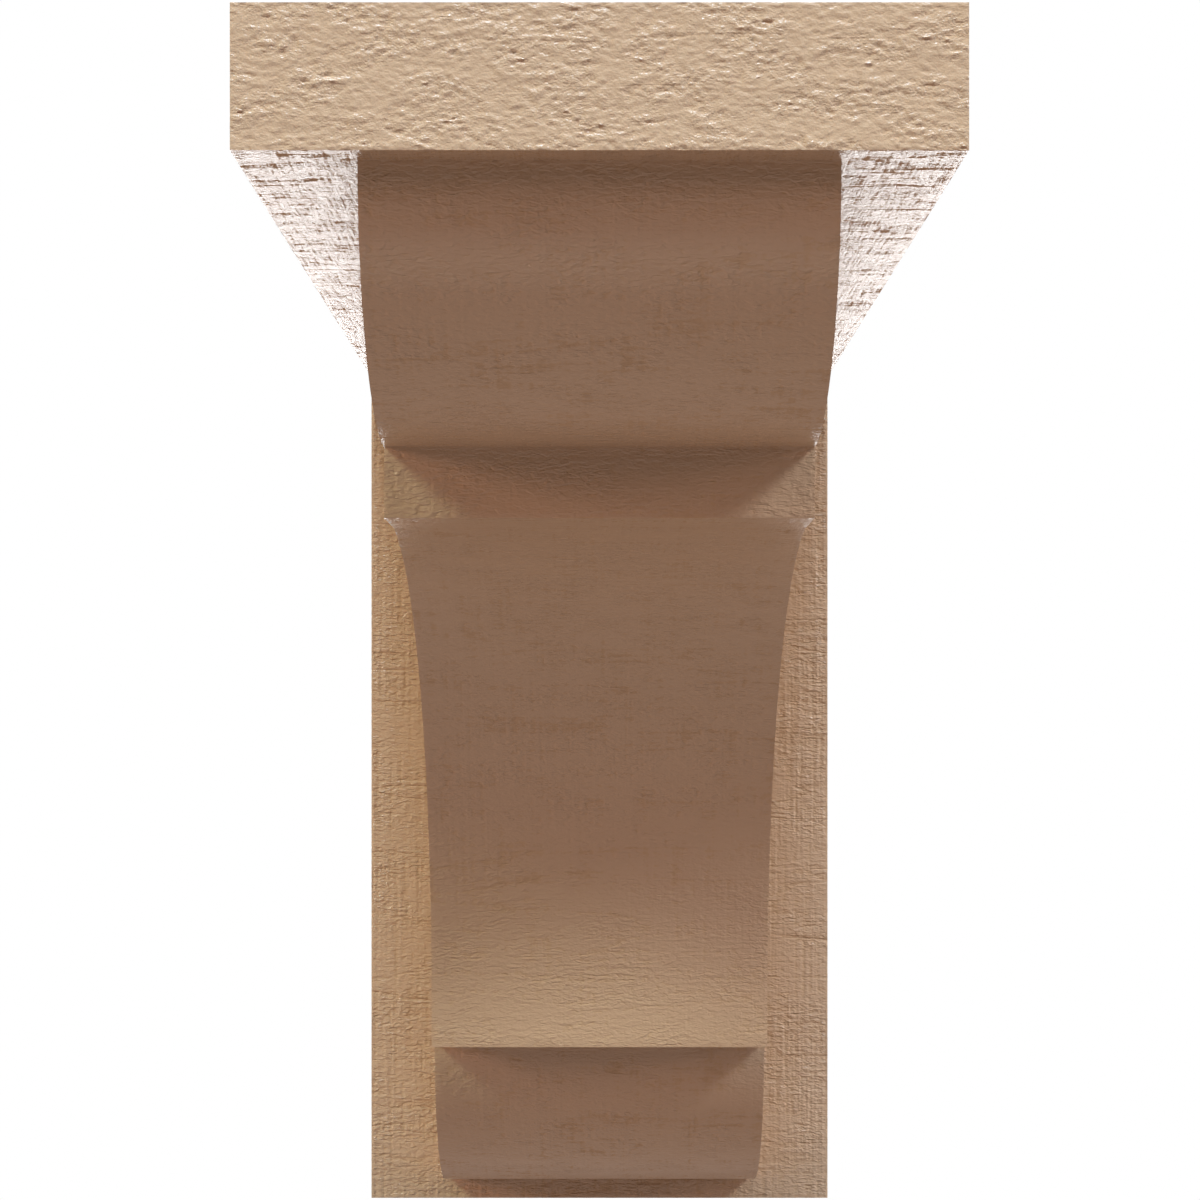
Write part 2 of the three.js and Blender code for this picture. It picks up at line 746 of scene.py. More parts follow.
    def side(self, across: float) -> Sheet:
        """Lays out one flat side of the bracket.

        Args:
            across: Where the side stands across the corbel.

        Returns:
            The side's sheet.
        """
        size, pitch = self.sizes, self.pitch
        points, _ = self.profile()
        board = -size.board_thickness
        corners = [(board, size.toe_level), (board, size.cap_level)]
        corners.append((-size.nose_reach, size.cap_level))
        joint = joined(corners, [pitch.board, pitch.underside])
        outline = np.concatenate([points[:-1], joint[:-1]])
        columns = ruling(-size.nose_reach, board, pitch.plain)
        rows = ruling(size.toe_level, size.cap_level, pitch.plain)
        lift = Facing.SIDE.lift(across)
        return Sheet(outline, columns, rows, lift, pitch.ease, self.sawing)


class Blend(Enum):
    """What a Mix node mixes: its data type, then its two inputs and its output by place."""

    PLACES = ("VECTOR", 4, 5, 1)
    COLOURS = ("RGBA", 6, 7, 2)


class NodeBench:
    """Adds nodes to one tree, of geometry or of a finish, and joins them.

    Args:
        tree: The tree that the nodes go in.
    """

    def __init__(self, tree: bpy.types.NodeTree) -> None:
        """Keeps the tree."""
        self.tree = tree

    def add(self, kind: str, inputs: dict | None = None, **settings: object) -> bpy.types.Node:
        """Adds a node.

        Args:
            kind: The node's type.
            inputs: What goes into its sockets, by name or place: a value or another's socket.
            settings: The node's own settings.

        Returns:
            The node.
        """
        node = self.tree.nodes.new(kind)
        for name, value in settings.items():
            setattr(node, name, value)
        for key, value in (inputs or {}).items():
            self.feed(node.inputs[key], value)
        return node

    def feed(self, socket: Socket, value: Feed) -> None:
        """Gives a socket a value, or joins it to another node's socket.

        Args:
            socket: The socket to feed.
            value: A plain value or an output socket.
        """
        if isinstance(value, Socket):
            self.tree.links.new(value, socket)
        else:
            socket.default_value = value

    def math(self, operation: str, *values: Feed) -> Socket:
        """Works out one sum.

        Args:
            operation: The name of the operation.
            values: What it works on.

        Returns:
            The socket with the result.
        """
        inputs = dict(enumerate(values))
        return self.add("ShaderNodeMath", inputs, operation=operation).outputs[0]

    def fold(self, operation: str, values: Iterable[Feed]) -> Socket:
        """Works several values into one, such as their sum or their product.

        Args:
            operation: The name of the operation on two values.
            values: Values or sockets, at least two.

        Returns:
            The socket with the result.
        """
        first, *rest = values
        for value in rest:
            first = self.math(operation, first, value)
        return first

    def moved(self, place: Socket, shift: Feed) -> Socket:
        """Moves a place.

        Args:
            place: The socket with the place.
            shift: How far to move it, for each axis or for all of them.

        Returns:
            The socket with the moved place.
        """
        return self.add("ShaderNodeVectorMath", {0: place, 1: shift}, operation="ADD").outputs[0]

    def scaled(self, vector: Socket, factor: Feed) -> Socket:
        """Scales a vector alike along all its axes.

        Args:
            vector: The socket with the vector.
            factor: How many times longer it gets.

        Returns:
            The socket with the scaled vector.
        """
        inputs = {"Vector": vector, "Scale": factor}
        return self.add("ShaderNodeVectorMath", inputs, operation="SCALE").outputs[0]

    def mix(self, blend: Blend, share: Feed, first: Feed, second: Feed) -> Socket:
        """Mixes two places or two colours.

        Args:
            blend: Which of them it mixes.
            share: The second one's share.
            first: The first place or colour.
            second: The second place or colour.

        Returns:
            The socket with the mixture.
        """
        data_type, first_place, second_place, result = blend.value
        inputs = {0: share, first_place: first, second_place: second}
        return self.add("ShaderNodeMix", inputs, data_type=data_type).outputs[result]

    def on_domain(self, value: Feed, domain: str) -> Socket:
        """Takes a value once on each face or edge of a mesh.

        Args:
            value: The socket with the value.
            domain: Whether it is taken on faces or on edges.

        Returns:
            The socket with the value there.
        """
        return self.add("GeometryNodeFieldOnDomain", {0: value}, domain=domain,
                        data_type="FLOAT").outputs[0]

    def stretched(self, place: Socket, lengths: Sequence[float], shift: float) -> Socket:
        """Scales a place so that a pattern of unit size gets the given lengths.

        Args:
            place: The socket with the place.
            lengths: The pattern's size along each axis.
            shift: Moves the pattern, so that two of them don't agree.

        Returns:
            The socket with the scaled place.
        """
        scale = tuple(1 / length for length in lengths)
        inputs = {0: place, 1: scale, 2: (shift, shift / 2, shift / 3)}
        return self.add("ShaderNodeVectorMath", inputs, operation="MULTIPLY_ADD").outputs[0]

    def noise(self, place: Socket, detail: float, roughness: float = 0.5,
              warp: float = 0.0) -> Socket:
        """Makes noise of unit size about zero.

        Args:
            place: The scaled place.
            detail: How many finer octaves it has.
            roughness: How strong they are.
            warp: How far its lines wander.

        Returns:
            The socket with the noise, from about -0.5 to 0.5.
        """
        inputs = {"Vector": place, "Scale": 1.0, "Detail": detail, "Roughness": roughness,
                  "Distortion": warp}
        return self.math("SUBTRACT", self.add("ShaderNodeTexNoise", inputs).outputs[0], 0.5)

    def pattern(self, place: Socket, lengths: Sequence[float], shift: float, detail: float,
                roughness: float = 0.5, warp: float = 0.0) -> Socket:
        """Makes noise of a given size about zero.

        Args:
            place: The socket with the place.
            lengths: The pattern's size along each axis.
            shift: Moves the pattern, so that two of them don't agree.
            detail: How many finer octaves it has.
            roughness: How strong they are.
            warp: How far its lines wander.

        Returns:
            The socket with the noise, from about -0.5 to 0.5.
        """
        return self.noise(self.stretched(place, lengths, shift), detail, roughness, warp)

    def ramp(self, value: Feed, low: float, high: float, start: float, end: float) -> Socket:
        """Maps one range softly to another.

        Args:
            value: The value to map.
            low: Where the ramp begins.
            high: Where it ends.
            start: The result at its beginning.
            end: The result at its end.

        Returns:
            The socket with the result.
        """
        inputs = {"Value": value, "From Min": low, "From Max": high, "To Min": start, "To Max": end}
        return self.add("ShaderNodeMapRange", inputs, interpolation_type="SMOOTHSTEP").outputs[0]


class Layer(Enum):
    """The layers of the sawn relief, from the coarsest to the finest."""

    BANDS = "bands"
    FIBRES = "fibres"
    HAIRS = "hairs"
    SAW_LINES = "saw lines"


@dataclass(frozen=True)
class SawnRelief:
    """The relief of rough-sawn timber, as heights over the smooth form.

    The grain runs along the first axis of the place that each method is given. Each pattern has
    a length along the grain, a pitch across it and a depth. A warp is how far its lines wander.

    Args:
        fibre_lap: How far each torn fibre leans over the one below it.
        ledge_spread: How many times further apart the ledges across the grain are.
        ledge_sharpness: How far the noise runs while a ledge steps down, to either side.
        level_share: How strong the saw lines along the grain are, against those across it.
        crease_width: How far the noise runs from the middle of a crease to its edge.
        patch_edge: How far the noise runs from the middle to the smoothest or roughest patch.
        smoothest: Share of the roughness that the smoothest patches keep.
    """

    band_length: float = 150 * MM
    band_pitch: float = 6.5 * MM
    band_depth: float = 0.28 * MM
    fibre_length: float = 1.6 * MM
    fibre_pitch: float = 0.6 * MM
    fibre_depth: float = 0.74 * MM
    fibre_warp: float = 0.4
    fibre_lap: float = 1.0
    ledge_length: float = 5 * MM
    ledge_pitch: float = 2.4 * MM
    ledge_depth: float = 0.1 * MM
    ledge_spread: float = 1.5
    ledge_warp: float = 0.8
    ledge_sharpness: float = 0.04
    hair_length: float = 0.6 * MM
    hair_pitch: float = 0.42 * MM
    hair_depth: float = 0.15 * MM
    saw_pitch: float = 1.1 * MM
    saw_length: float = 22 * MM
    saw_depth: float = 0.3 * MM
    level_share: float = 0.65
    crease_length: float = 90 * MM
    crease_pitch: float = 13 * MM
    crease_depth: float = 0.1 * MM
    crease_width: float = 0.022
    patch_length: float = 13 * MM
    patch_pitch: float = 6 * MM
    patch_edge: float = 0.14
    smoothest: float = 0.5

    def height(self, bench: NodeBench, place: Socket, layer: Layer) -> Socket:
        """Works out one layer's height.

        Args:
            bench: The tree to work in.
            place: The place, with the grain along its first axis.
            layer: Which layer.

        Returns:
            The socket with the height, in metres.
        """
        makers = {
            Layer.BANDS: self.bands,
            Layer.FIBRES: self.fibres,
            Layer.HAIRS: self.hairs,
            Layer.SAW_LINES: self.saw_lines,
        }
        return makers[layer](bench, place)

    def patches(self, bench: NodeBench, place: Socket) -> Socket:
        """Says how rough each patch of the surface is, from nearly smooth to fully torn.

        Args:
            bench: The tree to work in.
            place: The place, with the grain along its first axis.

        Returns:
            The socket with the share of the full roughness.
        """
        size = (self.patch_length, self.patch_pitch, self.patch_pitch)
        noise = bench.pattern(place, size, shift=2.2, detail=2.0, roughness=0.6)
        return bench.ramp(noise, -self.patch_edge, self.patch_edge, self.smoothest, 1.0)

    def bands(self, bench: NodeBench, place: Socket) -> Socket:
        """Makes the long level bands.

        Args:
            bench: The tree to work in.
            place: The place, with the grain along its first axis.

        Returns:
            The socket with the height.
        """
        size = (self.band_length, self.band_pitch, self.band_pitch)
        band = bench.pattern(place, size, shift=3.1, detail=2.0)
        return bench.math("MULTIPLY", band, self.band_depth)

    def fibres(self, bench: NodeBench, place: Socket) -> Socket:
        """Makes the torn fibres, and the ledges that the saw left along them and across them.

        The fibres lap over each other: each one's lower side is steeper than its upper side.

        Args:
            bench: The tree to work in.
            place: The place, with the grain along its first axis.

        Returns:
            The socket with the height.
        """
        size = (self.fibre_length, self.fibre_pitch, self.fibre_pitch)
        upright = bench.stretched(place, size, shift=1.9)
        lean = bench.noise(upright, detail=0.0, warp=self.fibre_warp)
        rise = bench.math("MULTIPLY", lean, self.fibre_lap)
        lapped = bench.moved(upright, bench.add("ShaderNodeCombineXYZ", {2: rise}).outputs[0])
        fibre = bench.noise(lapped, detail=1.0, warp=self.fibre_warp)
        heights = [bench.math("MULTIPLY", fibre, self.fibre_depth)]
        along = (self.ledge_length, self.ledge_pitch, self.ledge_pitch)
        across = (self.ledge_spread * self.ledge_pitch, self.ledge_length, self.ledge_length)
        sharp = self.ledge_sharpness
        for lengths, shift, depth in ((along, 5.2, self.ledge_depth),
                                      (across, 6.6, self.ledge_depth / 2)):
            edge = bench.pattern(place, lengths, shift, detail=1.0, roughness=0.6,
                                 warp=self.ledge_warp)
            heights.append(bench.ramp(edge, -sharp, sharp, -depth / 2, depth / 2))
        return bench.math("MULTIPLY", bench.fold("ADD", heights), self.patches(bench, place))

    def hairs(self, bench: NodeBench, place: Socket) -> Socket:
        """Makes the fine fuzz of the grain.

        Args:
            bench: The tree to work in.
            place: The place, with the grain along its first axis.

        Returns:
            The socket with the height.
        """
        size = (self.hair_length, self.hair_pitch, self.hair_pitch)
        hair = bench.pattern(place, size, shift=9.4, detail=1.0)
        height = bench.math("MULTIPLY", hair, self.hair_depth)
        return bench.math("MULTIPLY", height, self.patches(bench, place))

    def saw_lines(self, bench: NodeBench, place: Socket) -> Socket:
        """Makes the thin lines of the saw, along the grain and across it, and a few long creases.

        Args:
            bench: The tree to work in.
            place: The place, with the grain along its first axis.

        Returns:
            The socket with the height.
        """
        along = (self.saw_length, self.saw_pitch, self.saw_pitch)
        across = (self.saw_pitch, self.saw_length, self.saw_length)
        level = bench.pattern(place, along, shift=4.3, detail=1.0)
        upright = bench.pattern(place, across, shift=7.7, detail=1.0)
        lines = bench.math("MULTIPLY_ADD", level, self.level_share, upright)
        size = (self.crease_length, self.crease_pitch, self.crease_pitch)
        apart = bench.math("ABSOLUTE", bench.pattern(place, size, shift=2.9, detail=3.0))
        crease = bench.ramp(apart, 0.0, self.crease_width, -self.crease_depth, 0.0)
        height = bench.math("MULTIPLY_ADD", lines, self.saw_depth, crease)
        return bench.math("MULTIPLY", height, self.patches(bench, place))


def along_grain(bench: NodeBench, place: Socket, end_face: Socket) -> Socket:
    """Turns the grain to run level along the face: across the front, and front to back on a side.

    Args:
        bench: The tree to work in.
        place: The place on the casting.
        end_face: 1 on the sides, 0 elsewhere.

    Returns:
        The place with the grain along its first axis.
    """
    parts = bench.add("ShaderNodeSeparateXYZ", {0: place}).outputs
    turned = bench.add("ShaderNodeCombineXYZ", {0: parts[1], 1: parts[0], 2: parts[2]}).outputs[0]
    return bench.mix(Blend.PLACES, end_face, place, turned)


@dataclass(frozen=True)
class ReliefTree:
    """The Geometry Nodes that raise the sawn relief and wear the arrises.

    Args:
        relief: The rule that the relief follows.
        relief_strength: Share of the relief's height.
        side_share: Share of it that the sides get.
        arris_wear: How far an arris is worn back, at its mean.
        wear_swing: How much the wear swings about its mean.
        arris_chip_size: How long the worn places are.
        seed: Shifts every pattern, along all three axes.
        sharp_turn: Where the mesh turns further than this, it has an arris.
        arris_share: A vertex with more than this share of its edges on an arris is on it.
        side_facing: How squarely a side faces sideways, at least.
        finest_face: Faces up to this area carry all of the fibres.
        coarsest_face: Faces from this area on leave them to the finish.
    """

    relief: SawnRelief
    relief_strength: float = 1.0
    side_share: float = 0.35
    arris_wear: float = 0.04 * MM
    wear_swing: float = 2.5
    arris_chip_size: float = 2.4 * MM
    seed: float = 0.7
    sharp_turn: float = math.radians(40)
    arris_share: float = 0.01
    side_facing: float = 0.8
    finest_face: float = 0.18 * MM * MM
    coarsest_face: float = 0.36 * MM * MM

    def build(self) -> bpy.types.NodeTree:
        """Builds the tree.

        Returns:
            The tree, with its named inputs.
        """
        tree = bpy.data.node_groups.new("sawn relief", "GeometryNodeTree")
        sockets = tree.interface
        sockets.new_socket("Geometry", in_out="INPUT", socket_type="NodeSocketGeometry")
        for name in ("Relief Strength", "Arris Wear", "Seed"):
            sockets.new_socket(name, in_out="INPUT", socket_type="NodeSocketFloat")
        sockets.new_socket("Finish", in_out="INPUT", socket_type="NodeSocketMaterial")
        sockets.new_socket("Geometry", in_out="OUTPUT", socket_type="NodeSocketGeometry")
        bench = NodeBench(tree)
        given = bench.add("NodeGroupInput").outputs
        end_face, carried = self.face_kind(bench)
        position = bench.add("GeometryNodeInputPosition").outputs[0]
        seeded = bench.moved(position, given["Seed"])
        tearing, fineness = (
            bench.add("GeometryNodeInputNamedAttribute", {"Name": name}, data_type="FLOAT").outputs[0]
            for name in (TEARING, FINENESS)
        )
        grain = along_grain(bench, bench.scaled(seeded, fineness), end_face)
        bands = self.relief.height(bench, grain, Layer.BANDS)
        fibres = bench.math("MULTIPLY", self.relief.height(bench, grain, Layer.FIBRES), carried)
        raised = bench.math("MULTIPLY", given["Relief Strength"], bench.math("ADD", bands, fibres))
        arris = self.arris(bench)
        worn = bench.math("MULTIPLY", arris, self.wear(bench, seeded, given["Arris Wear"]))
        flatter = bench.math("MULTIPLY_ADD", end_face, self.side_share - 1.0, 1.0)
        off_arris = bench.math("SUBTRACT", 1.0, arris)
        kept = bench.fold("MULTIPLY", (raised, flatter, tearing, off_arris))
        normal = bench.add("GeometryNodeInputNormal").outputs[0]
        offset = bench.scaled(normal, bench.math("SUBTRACT", kept, worn))
        stored = self.store(bench, given["Geometry"], END_FACE, end_face)
        stored = self.store(bench, stored, CARRIED, carried)
        lifted = bench.add("GeometryNodeSetPosition", {
            "Geometry": stored, "Offset": offset,
        }).outputs[0]
        real = bench.add("GeometryNodeRealizeInstances", {0: lifted}).outputs[0]
        dressed = bench.add("GeometryNodeSetMaterial", {
            "Geometry": real, "Material": given["Finish"],
        }).outputs[0]
        bench.add("NodeGroupOutput", {0: dressed})
        return tree

    def face_kind(self, bench: NodeBench) -> tuple[Socket, Socket]:
        """Tells the sides from the rest, and the finely meshed faces from the coarse ones.

        Args:
            bench: The tree to work in.

        Returns:
            Two sockets: 1 on the sides, and the share of the fibres that the mesh can carry.
        """
        normal = bench.add("GeometryNodeInputNormal").outputs[0]
        across = bench.add("ShaderNodeSeparateXYZ", {0: normal}).outputs[0]
        sideways = bench.math("GREATER_THAN", bench.math("ABSOLUTE", across), self.side_facing)
        area = bench.add("GeometryNodeInputMeshFaceArea").outputs[0]
        share = bench.ramp(area, self.finest_face, self.coarsest_face, 1.0, 0.0)
        return bench.on_domain(sideways, "FACE"), bench.on_domain(share, "FACE")

    def arris(self, bench: NodeBench) -> Socket:
        """Finds the outer arrises, which keep their place so that each outline stays clean.

        Args:
            bench: The tree to work in.

        Returns:
            The socket with 1 on an arris, 0 elsewhere.
        """
        turn = bench.add("GeometryNodeInputMeshEdgeAngle").outputs["Signed Angle"]
        outer = bench.math("GREATER_THAN", turn, self.sharp_turn)
        return bench.math("GREATER_THAN", bench.on_domain(outer, "EDGE"), self.arris_share)

    def wear(self, bench: NodeBench, place: Socket, depth: Socket) -> Socket:
        """Says how far an arris has been worn back at each place.

        Args:
            bench: The tree to work in.
            place: The place on the casting.
            depth: The wear at its mean.

        Returns:
            The socket with the distance.
        """
        chips = bench.pattern(place, [self.arris_chip_size] * 3, shift=6.1, detail=2.0)
        swing = bench.math("MULTIPLY_ADD", chips, self.wear_swing, 1.0)
        return bench.math("MULTIPLY", depth, swing)

    @staticmethod
    def store(bench: NodeBench, geometry: Socket, name: str, value: Feed) -> Socket:
        """Leaves a value on each face of the mesh under a name.

        Args:
            bench: The tree to work in.
            geometry: The socket with the mesh.
            name: The attribute's name.
            value: The socket with the value.

        Returns:
            The socket with the mesh.
        """
        inputs = {"Geometry": geometry, "Name": name, "Value": value}
        return bench.add("GeometryNodeStoreNamedAttribute", inputs,
                         data_type="FLOAT", domain="FACE").outputs[0]

    def apply(self, casting: bpy.types.Object, finish: bpy.types.Material) -> bpy.types.Object:
        """Raises the relief on a smooth casting.

        Args:
            casting: The smooth casting.
            finish: The material that it gets.

        Returns:
            The same object with the relief in its mesh.
        """
        tree = self.build()
        modifier = casting.modifiers.new("sawn relief", "NODES")
        modifier.node_group = tree
        values = {
            "Relief Strength": self.relief_strength,
            "Arris Wear": self.arris_wear,
            "Seed": self.seed,
            "Finish": finish,
        }
        for item in tree.interface.items_tree:
            if item.in_out == "INPUT" and item.name in values:
                modifier[item.identifier] = values[item.name]
        evaluated = casting.evaluated_get(bpy.context.evaluated_depsgraph_get())
        raised = bpy.data.meshes.new_from_object(evaluated)
        casting.modifiers.remove(modifier)
        smooth = casting.data
        casting.data = raised
        bpy.data.meshes.remove(smooth)
        raised.name = casting.name
        return casting


@dataclass(frozen=True)
class SawnUrethane:
    """The finish: tan primed urethane with a low sheen, the finest of the grain, and painted shade in
    the hollows.

    Args:
        relief: The rule that the relief follows.
        seed: The same shift as the mesh's relief has.
        tan: The primer's colour.
        brown: The colour that it tends to in the mottle, and the colour of the painted shade in the
            hollows.
        mottle_size: How large the mottle's clouds are across the grain.
        mottle_stretch: How many times longer they are along it.
        mottle_edge: How far the noise runs from the middle to the palest or brownest cloud.
        mottle_share: How brown the brownest cloud is.
        roughness: How rough the primer is at the smallest scale.
        ior: Its index of refraction.
        specular: How strong the reflections are outside the hollows.
        hollow_shade_share: How brown the painted shade makes the deepest hollows.
        hollow_shade_depth: Heights between which a hollow's painted shade fades from brown to plain.
        fibre_share: How much the torn fibres count towards the hollows that get painted shade.
        reflection_shade_depth: Heights between which a hollow's painted shade on the reflections
            fades from dull to shiny.
    """

    relief: SawnRelief
    seed: float
    tan: tuple[float, float, float] = (0.60, 0.415, 0.265)
    brown: tuple[float, float, float] = (0.40, 0.25, 0.15)
    mottle_size: float = 22 * MM
    mottle_stretch: float = 3.0
    mottle_edge: float = 0.2
    mottle_share: float = 0.07
    roughness: float = 0.28
    ior: float = 1.5
    specular: float = 0.5
    hollow_shade_share: float = 0.2
    hollow_shade_depth: tuple[float, float] = (-0.10 * MM, -0.045 * MM)
    fibre_share: float = 0.42
    reflection_shade_depth: tuple[float, float] = (-0.05 * MM, -0.015 * MM)

    def material(self) -> bpy.types.Material:
        """Builds the finish's material.

        Returns:
            The material.
        """
        finish = bpy.data.materials.new("sawn urethane")
        finish.use_nodes = True
        finish.node_tree.nodes.clear()
        bench = NodeBench(finish.node_tree)
        shader = bench.add("ShaderNodeBsdfPrincipled", {
            "Roughness": self.roughness,
            "IOR": self.ior,
        })
        place = bench.add("ShaderNodeTexCoord").outputs["Object"]
        seeded = bench.moved(place, (self.seed, self.seed, self.seed))
        end_face, carried, tearing, saw_marks, fineness = (
            bench.add("ShaderNodeAttribute", attribute_name=name).outputs["Fac"]
            for name in (END_FACE, CARRIED, TEARING, SAW_MARKS, FINENESS)
        )
        grain = along_grain(bench, bench.scaled(seeded, fineness), end_face)
        fibres, hairs, lines = (
            bench.math("MULTIPLY", self.relief.height(bench, grain, layer), share)
            for layer, share in ((Layer.FIBRES, tearing), (Layer.HAIRS, tearing),
                                 (Layer.SAW_LINES, saw_marks))
        )
        left = bench.math("SUBTRACT", 1.0, carried)
        fine = bench.math("ADD", hairs, lines)
        height = bench.math("MULTIPLY_ADD", fibres, left, fine)
        bump = bench.add("ShaderNodeBump", {"Strength": 1.0, "Distance": 1.0, "Height": height})
        bench.feed(shader.inputs["Normal"], bump.outputs[0])
        # The hollows' height sets painted shade there: a browner colour and duller reflections.
        hollow = bench.math("MULTIPLY_ADD", fibres, self.fibre_share, fine)
        bench.feed(shader.inputs["Base Color"], self.colour(bench, grain, hollow))
        # Painted shade on the reflections: the specular level falls in the hollows.
        shine_with_hollow_shade = bench.ramp(hollow, *self.reflection_shade_depth, 0.0, self.specular)
        bench.feed(shader.inputs["Specular IOR Level"], shine_with_hollow_shade)
        bench.add("ShaderNodeOutputMaterial", {"Surface": shader.outputs[0]})
        return finish

    def colour(self, bench: NodeBench, grain: Socket, hollow: Socket) -> Socket:
        """Mottles the tan, and paints shade into the hollows as a browner colour.

        Args:
            bench: The material's tree.
            grain: The place, with the grain along its first axis.
            hollow: The height that tells how deep a hollow is, and so how much painted shade it gets.

        Returns:
            The socket with the colour.
        """
        size = (self.mottle_stretch * self.mottle_size, self.mottle_size, self.mottle_size)
        mottle = bench.pattern(grain, size, shift=8.8, detail=4.0, roughness=0.6)
        cloudy = bench.ramp(mottle, -self.mottle_edge, self.mottle_edge, 0.0, self.mottle_share)
        # Painted shade: the deeper the hollow, the browner the colour.
        deep = bench.ramp(hollow, *self.hollow_shade_depth, self.hollow_shade_share, 0.0)
        share = bench.math("MAXIMUM", cloudy, deep)
        return bench.mix(Blend.COLOURS, share, (*self.tan, 1.0), (*self.brown, 1.0))


@dataclass(frozen=True)
class Casting:
    """The whole corbel, cast in one piece.

    Args:
        sizes: The corbel's sizes.
        pitch: How far apart the vertices stand.
        relief: The rule that the relief follows.
        weld_distance: Vertices that are closer than this become one.
        corner: A bend that turns further than this shades as a sharp edge.
    """

    sizes: CorbelSizes
    pitch: MeshPitch = field(default_factory=MeshPitch)
    relief: SawnRelief = field(default_factory=SawnRelief)
    weld_distance: float = 0.01 * MM
    corner: float = math.radians(50)

    def smooth(self) -> bpy.types.Object:
        """Meshes the smooth form.

        Returns:
            One closed mesh object with every face of the casting.
        """
        owners = [kind(self.sizes, self.pitch) for kind in (CapSlab, BackBoard, Bracket)]
        sheets = [sheet for owner in owners for sheet in owner.sheets()]
        vertices, faces, total = [], [], 0
        for sheet in sheets:
            placed, triangles = sheet.mesh()
            vertices.append(placed)
            faces.append(triangles + total)
            total += len(placed)
        mesh = bpy.data.meshes.new(CASTING_NAME)
        mesh.from_pydata(np.concatenate(vertices), [], np.concatenate(faces))
        for name in (TEARING, SAW_MARKS, FINENESS):
            shares = [np.full(len(part), getattr(sheet.sawing, name))
                      for sheet, part in zip(sheets, faces)]
            attribute = mesh.attributes.new(name, "FLOAT", "FACE")
            attribute.data.foreach_set("value", np.concatenate(shares))
        shell = bmesh.new()
        shell.from_mesh(mesh)
        bmesh.ops.remove_doubles(shell, verts=shell.verts, dist=self.weld_distance)
        bmesh.ops.recalc_face_normals(shell, faces=shell.faces)
        open_edges = sum(not edge.is_manifold for edge in shell.edges)
        shell.to_mesh(mesh)
        shell.free()
        log.info("smooth form: %d triangles, %d open edges", len(mesh.polygons), open_edges)
        casting = bpy.data.objects.new(CASTING_NAME, mesh)
        bpy.context.scene.collection.objects.link(casting)
        return casting

    def build(self) -> bpy.types.Object:
        """Makes the finished casting in place of the plain node.

        Returns:
            The casting, riding on its body.
        """
        tree = ReliefTree(self.relief)
        finish = SawnUrethane(self.relief, tree.seed)
        casting = tree.apply(self.smooth(), finish.material())
        casting.data.shade_smooth()
        casting.data.set_sharp_from_angle(angle=self.corner)
        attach(casting, BODY)
        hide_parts(CORBEL_NODE)
        return casting


@dataclass(frozen=True)
class FarLight:
    """A far, soft light.

    Args:
        name: The light's name.
        azimuth: Degrees from straight in front, positive to the right.
        elevation: Degrees above the level.
        power: Red, green and blue watts on each square metre that faces it.
        softness: How wide the light looks from the corbel.
    """

    name: str
    azimuth: float
    elevation: float
    power: tuple[float, float, float]
    softness: float = math.radians(16)

    def build(self) -> bpy.types.Object:
        """Sets the light up.

        Returns:
            The light's object.
        """
        turn, rise = math.radians(self.azimuth), math.radians(self.elevation)
        outward = math.cos(rise)
        away = Vector((math.sin(turn) * outward, -math.cos(turn) * outward, math.sin(rise)))
        lamp = bpy.data.lights.new(self.name, "SUN")
        lamp.angle = self.softness
        lamp.energy = max(self.power)
        lamp.color = [share / max(self.power) for share in self.power]
        light = bpy.data.objects.new(self.name, lamp)
        light.location = away
        light.rotation_euler = away.to_track_quat("Z", "Y").to_euler()
        bpy.context.scene.collection.objects.link(light)
        return light


STUDIO_LIGHTS = (
    FarLight("left_key", -68, 42, (1.77, 2.23, 1.93)),
    FarLight("left_low", -70, 15, (1.38, 0.87, 0.69)),
    FarLight("right_key", 68, 42, (2.28, 2.59, 2.88)),
    FarLight("right_low", 80, 15, (1.00, 0.71, 0.64)),
    FarLight("front_top", 0, 62, (1.74, 2.24, 2.89)),
)


